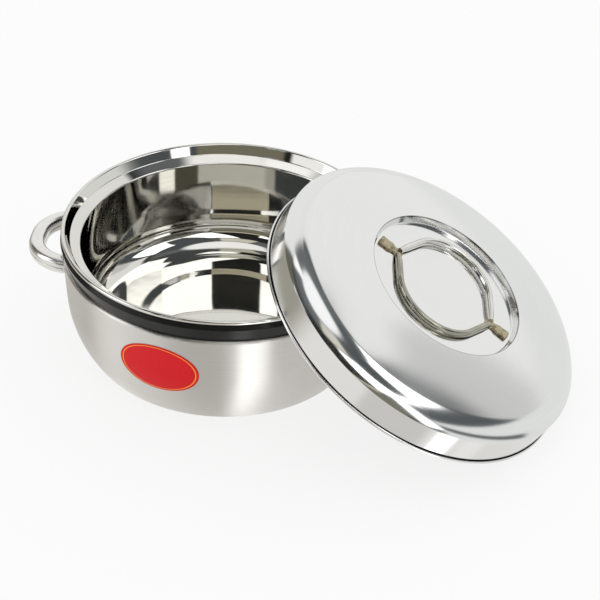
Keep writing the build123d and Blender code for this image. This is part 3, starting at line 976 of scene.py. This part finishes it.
# the studio that polished steel mirrors, one panel painted over another: degrees round from the front
# to the right, degrees up, brightness, softness of the edges in degrees, how far the panel slants
# sideways over its height, and how far it tilts over its width
studioPanels = {
    "slate": {"round": (26, 112), "up": (13, 75), "tone": (0.085, 0.095, 0.10), "soft": 1.5},
    "backdropRight": {"round": (112, 182), "up": (-6, 57), "tone": (0.93, 0.93, 0.915), "soft": 1.5},
    "backdropEdge": {"round": (111, 126), "up": (8, 45), "tone": (0.66, 0.66, 0.645), "soft": 4},
    "backdropLeft": {"round": (-182, -126), "up": (-6, 60), "tone": (0.90, 0.90, 0.88), "soft": 4},
    "lowRight": {"round": (50, 182), "up": (-30, 13), "tone": (0.84, 0.85, 0.84), "soft": 2, "tilt": -10},
    "gapRight": {"round": (48, 100), "up": (-8, 1), "tone": (0.10, 0.11, 0.11), "soft": 2, "tilt": -30},
    "leftShade": {"round": (-126, -84), "up": (20, 57), "tone": (0.14, 0.135, 0.11), "soft": 3},
    "backHigh": {"round": (-138, -118), "up": (60, 76), "tone": (1.2, 1.2, 1.2), "soft": 3},
    "lowLeft": {"round": (-150, -31), "up": (-100, 5), "tone": (0.86, 0.85, 0.815), "soft": 2},
    "lowLeftShade": {"round": (-152, -82), "up": (-22, 5), "tone": (0.36, 0.345, 0.285), "soft": 12},
    "front": {"round": (-27, 20), "up": (30.5, 34.2), "tone": (0.60, 0.56, 0.43), "soft": 0.4},
    "highFront": {"round": (-30, 15), "up": (59, 72), "tone": (0.72, 0.70, 0.60), "soft": 2},
    "softboxRight": {"round": (67, 104), "up": (36, 60), "tone": (2, 2, 2), "soft": 1, "slant": 8},
    "softboxFront": {"round": (36, 49), "up": (4, 34), "tone": (2, 2, 2), "soft": 1, "slant": -4},
    "softboxHigh": {"round": (7, 40), "up": (35.2, 57), "tone": (2, 2, 2), "soft": 0.8, "slant": -30},
    "softboxBand": {"round": (20, 64), "up": (34.4, 41), "tone": (2, 2, 2), "soft": 0.8},
    "softboxSmall": {"round": (-38, -22), "up": (35, 42), "tone": (2, 2, 2), "soft": 1},
    "softboxTop": {"round": (-200, 200), "up": (74, 95), "tone": (1.1, 1.1, 1.1), "soft": 2},
    "softboxLeft": {"round": (-88, -62), "up": (5, 52), "tone": (2, 2, 2), "soft": 2},
    "tableDark": {"round": (-34, 10), "up": (-100, -14), "tone": (0.66, 0.645, 0.615), "soft": 3},
    "tableLight": {"round": (20, 40), "up": (-100, -14), "tone": (2.2, 2.2, 2.16), "soft": 2},
    "tableRight": {"round": (54, 90), "up": (-100, -60), "tone": (0.92, 0.91, 0.89), "soft": 4},
    "lowFront": {"round": (-33, 30), "up": (8, 29), "tone": (0.20, 0.19, 0.14), "soft": 2},
    "lowFrontLeft": {"round": (-64, -39), "up": (6, 30), "tone": (1.1, 1.1, 1.09), "soft": 2},
}
studioTone = {
    "table": (0.80, 0.79, 0.765), "tableUp": (-1, -3), "wall": (0.02, 0.021, 0.02),
    "ceiling": (0.14, 0.15, 0.155), "ceilingUp": (56, 64),
}


def makeRoom():
    # white for every ray but a mirrored one, which sees the panels: degrees up = arcsin z, and
    # degrees round = arctan(x / -y)
    world = bpy.data.worlds.new("room")
    bpy.context.scene.world = world
    world.use_nodes = True
    tree = world.node_tree
    tree.nodes.clear()
    wire = Wire(tree)
    x, y, z = wire.add("ShaderNodeTexCoord", output=0).parts()
    up = z.math("ARCSINE", z) * (180 / pi)
    around = x.math("ARCTAN2", x, 0 - y) * (180 / pi)
    colour = wire.mixed(up.rise(*studioTone["ceilingUp"]), studioTone["wall"], studioTone["ceiling"])
    colour = wire.mixed(up.rise(*studioTone["tableUp"]), colour, studioTone["table"])
    for panel in studioPanels.values():
        left, right = panel["round"]
        low, high = panel["up"]
        soft = panel["soft"]
        skewed = around - (up - (low + high) / 2) * (panel.get("slant", 0) / (high - low))
        tipped = up - (around - (left + right) / 2) * (panel.get("tilt", 0) / (right - left))
        share = tipped.between(low, high, soft) * skewed.between(left, right, soft)
        colour = wire.mixed(share, colour, panel["tone"])
    mirrored = wire.add("ShaderNodeLightPath").outlet("Is Glossy Ray")
    shown = wire.mixed(mirrored, (1, 1, 1), colour)
    ground = wire.add("ShaderNodeBackground", None, {"Color": shown, "Strength": 1.0})
    tree.links.new(ground.socket, tree.nodes.new("ShaderNodeOutputWorld").inputs[0])


cameraLook = {
    "azimuth": 6.6, "elevation": 34.82, "roll": 1.95, "distance": 1.8606,
    "target": (0.0558, 0.0065, 0.0377), "lens": 150.0, "sensor": 36.0,
}


def makeCamera():
    # at target + distance * back, with back = (sin a cos e, -cos a cos e, sin e), rolled about its view
    look = cameraLook
    camera = bpy.data.objects.new("camera", bpy.data.cameras.new("camera"))
    bpy.context.scene.collection.objects.link(camera)
    a, e = radians(look["azimuth"]), radians(look["elevation"])
    back = Vector((sin(a) * cos(e), -cos(a) * cos(e), sin(e)))
    camera.location = Vector(look["target"]) + back * look["distance"]
    facing = (-back).to_track_quat("-Z", "Y").to_matrix() @ Matrix.Rotation(radians(look["roll"]), 3, "Z")
    camera.rotation_euler = facing.to_euler()
    camera.data.lens = look["lens"]
    camera.data.sensor_width = look["sensor"]
    bpy.context.scene.camera = camera


makeFloor()
makeRoom()
makeCamera()
bpy.context.scene.view_settings.view_transform = "Standard"
print("stage set")
